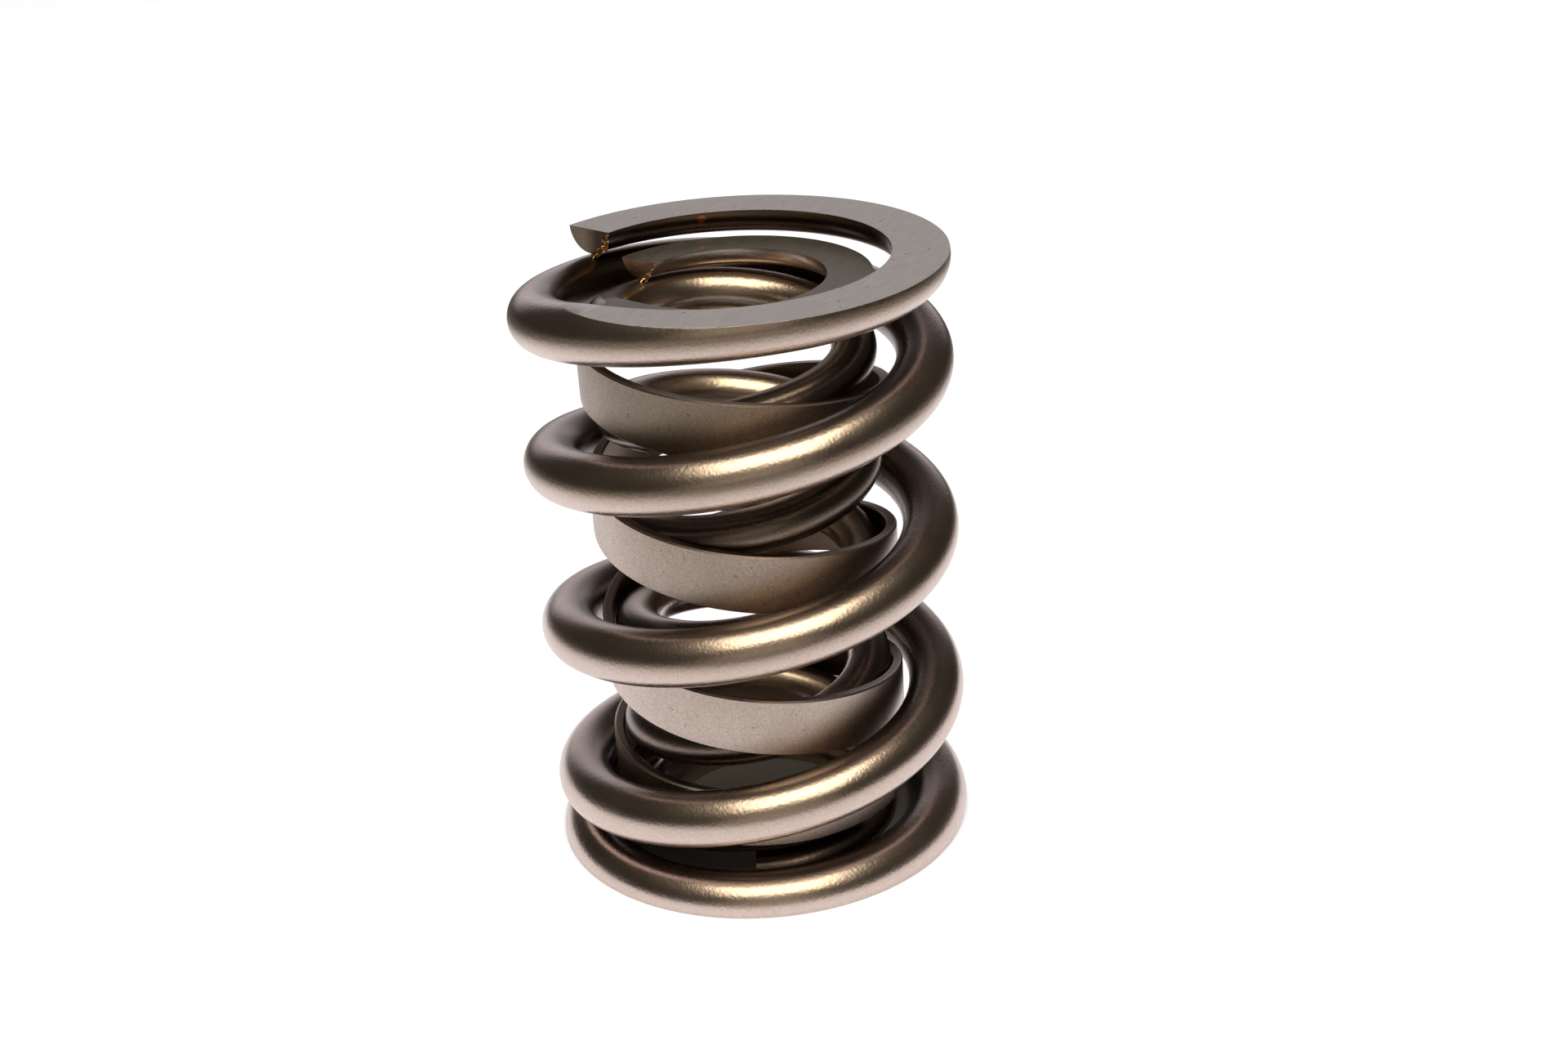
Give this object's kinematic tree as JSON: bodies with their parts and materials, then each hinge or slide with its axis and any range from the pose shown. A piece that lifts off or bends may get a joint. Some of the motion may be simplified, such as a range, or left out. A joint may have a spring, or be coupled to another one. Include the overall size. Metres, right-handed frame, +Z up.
{
  "type": "valve spring",
  "caption": "Engine valve spring set: a round-wire outer coil, a flat ribbon damper and a round-wire inner coil, with ends ground flat to sit between a spring seat and a retainer.",
  "frame": {"origin": "centre of the lower seat plane, on the coils' common axis; the ground lower ends of both round-wire coils lie on z = 0", "axes": "+Z runs up the coils from the lower seat to the upper one; the picture was taken from about -Y, and both tips of the outer coil lie at 137 degrees, turning from +X towards +Y"},
  "size_m": [0.0394, 0.0394, 0.056],
  "materials": {
    "outer_steel": "satin, shot-peened spring steel with a warm bronze-grey tone; ground ends are bare grey",
    "damper_steel": "satin rolled ribbon steel, a lighter warm grey than the coils",
    "inner_steel": "satin, shot-peened spring steel with a warm bronze-grey tone; ground ends are bare grey"
  },
  "bodies": {
    "root": {"outer_spring": "outer_steel", "flat_damper": "damper_steel", "inner_spring": "inner_steel"}
  },
  "joints": []
}
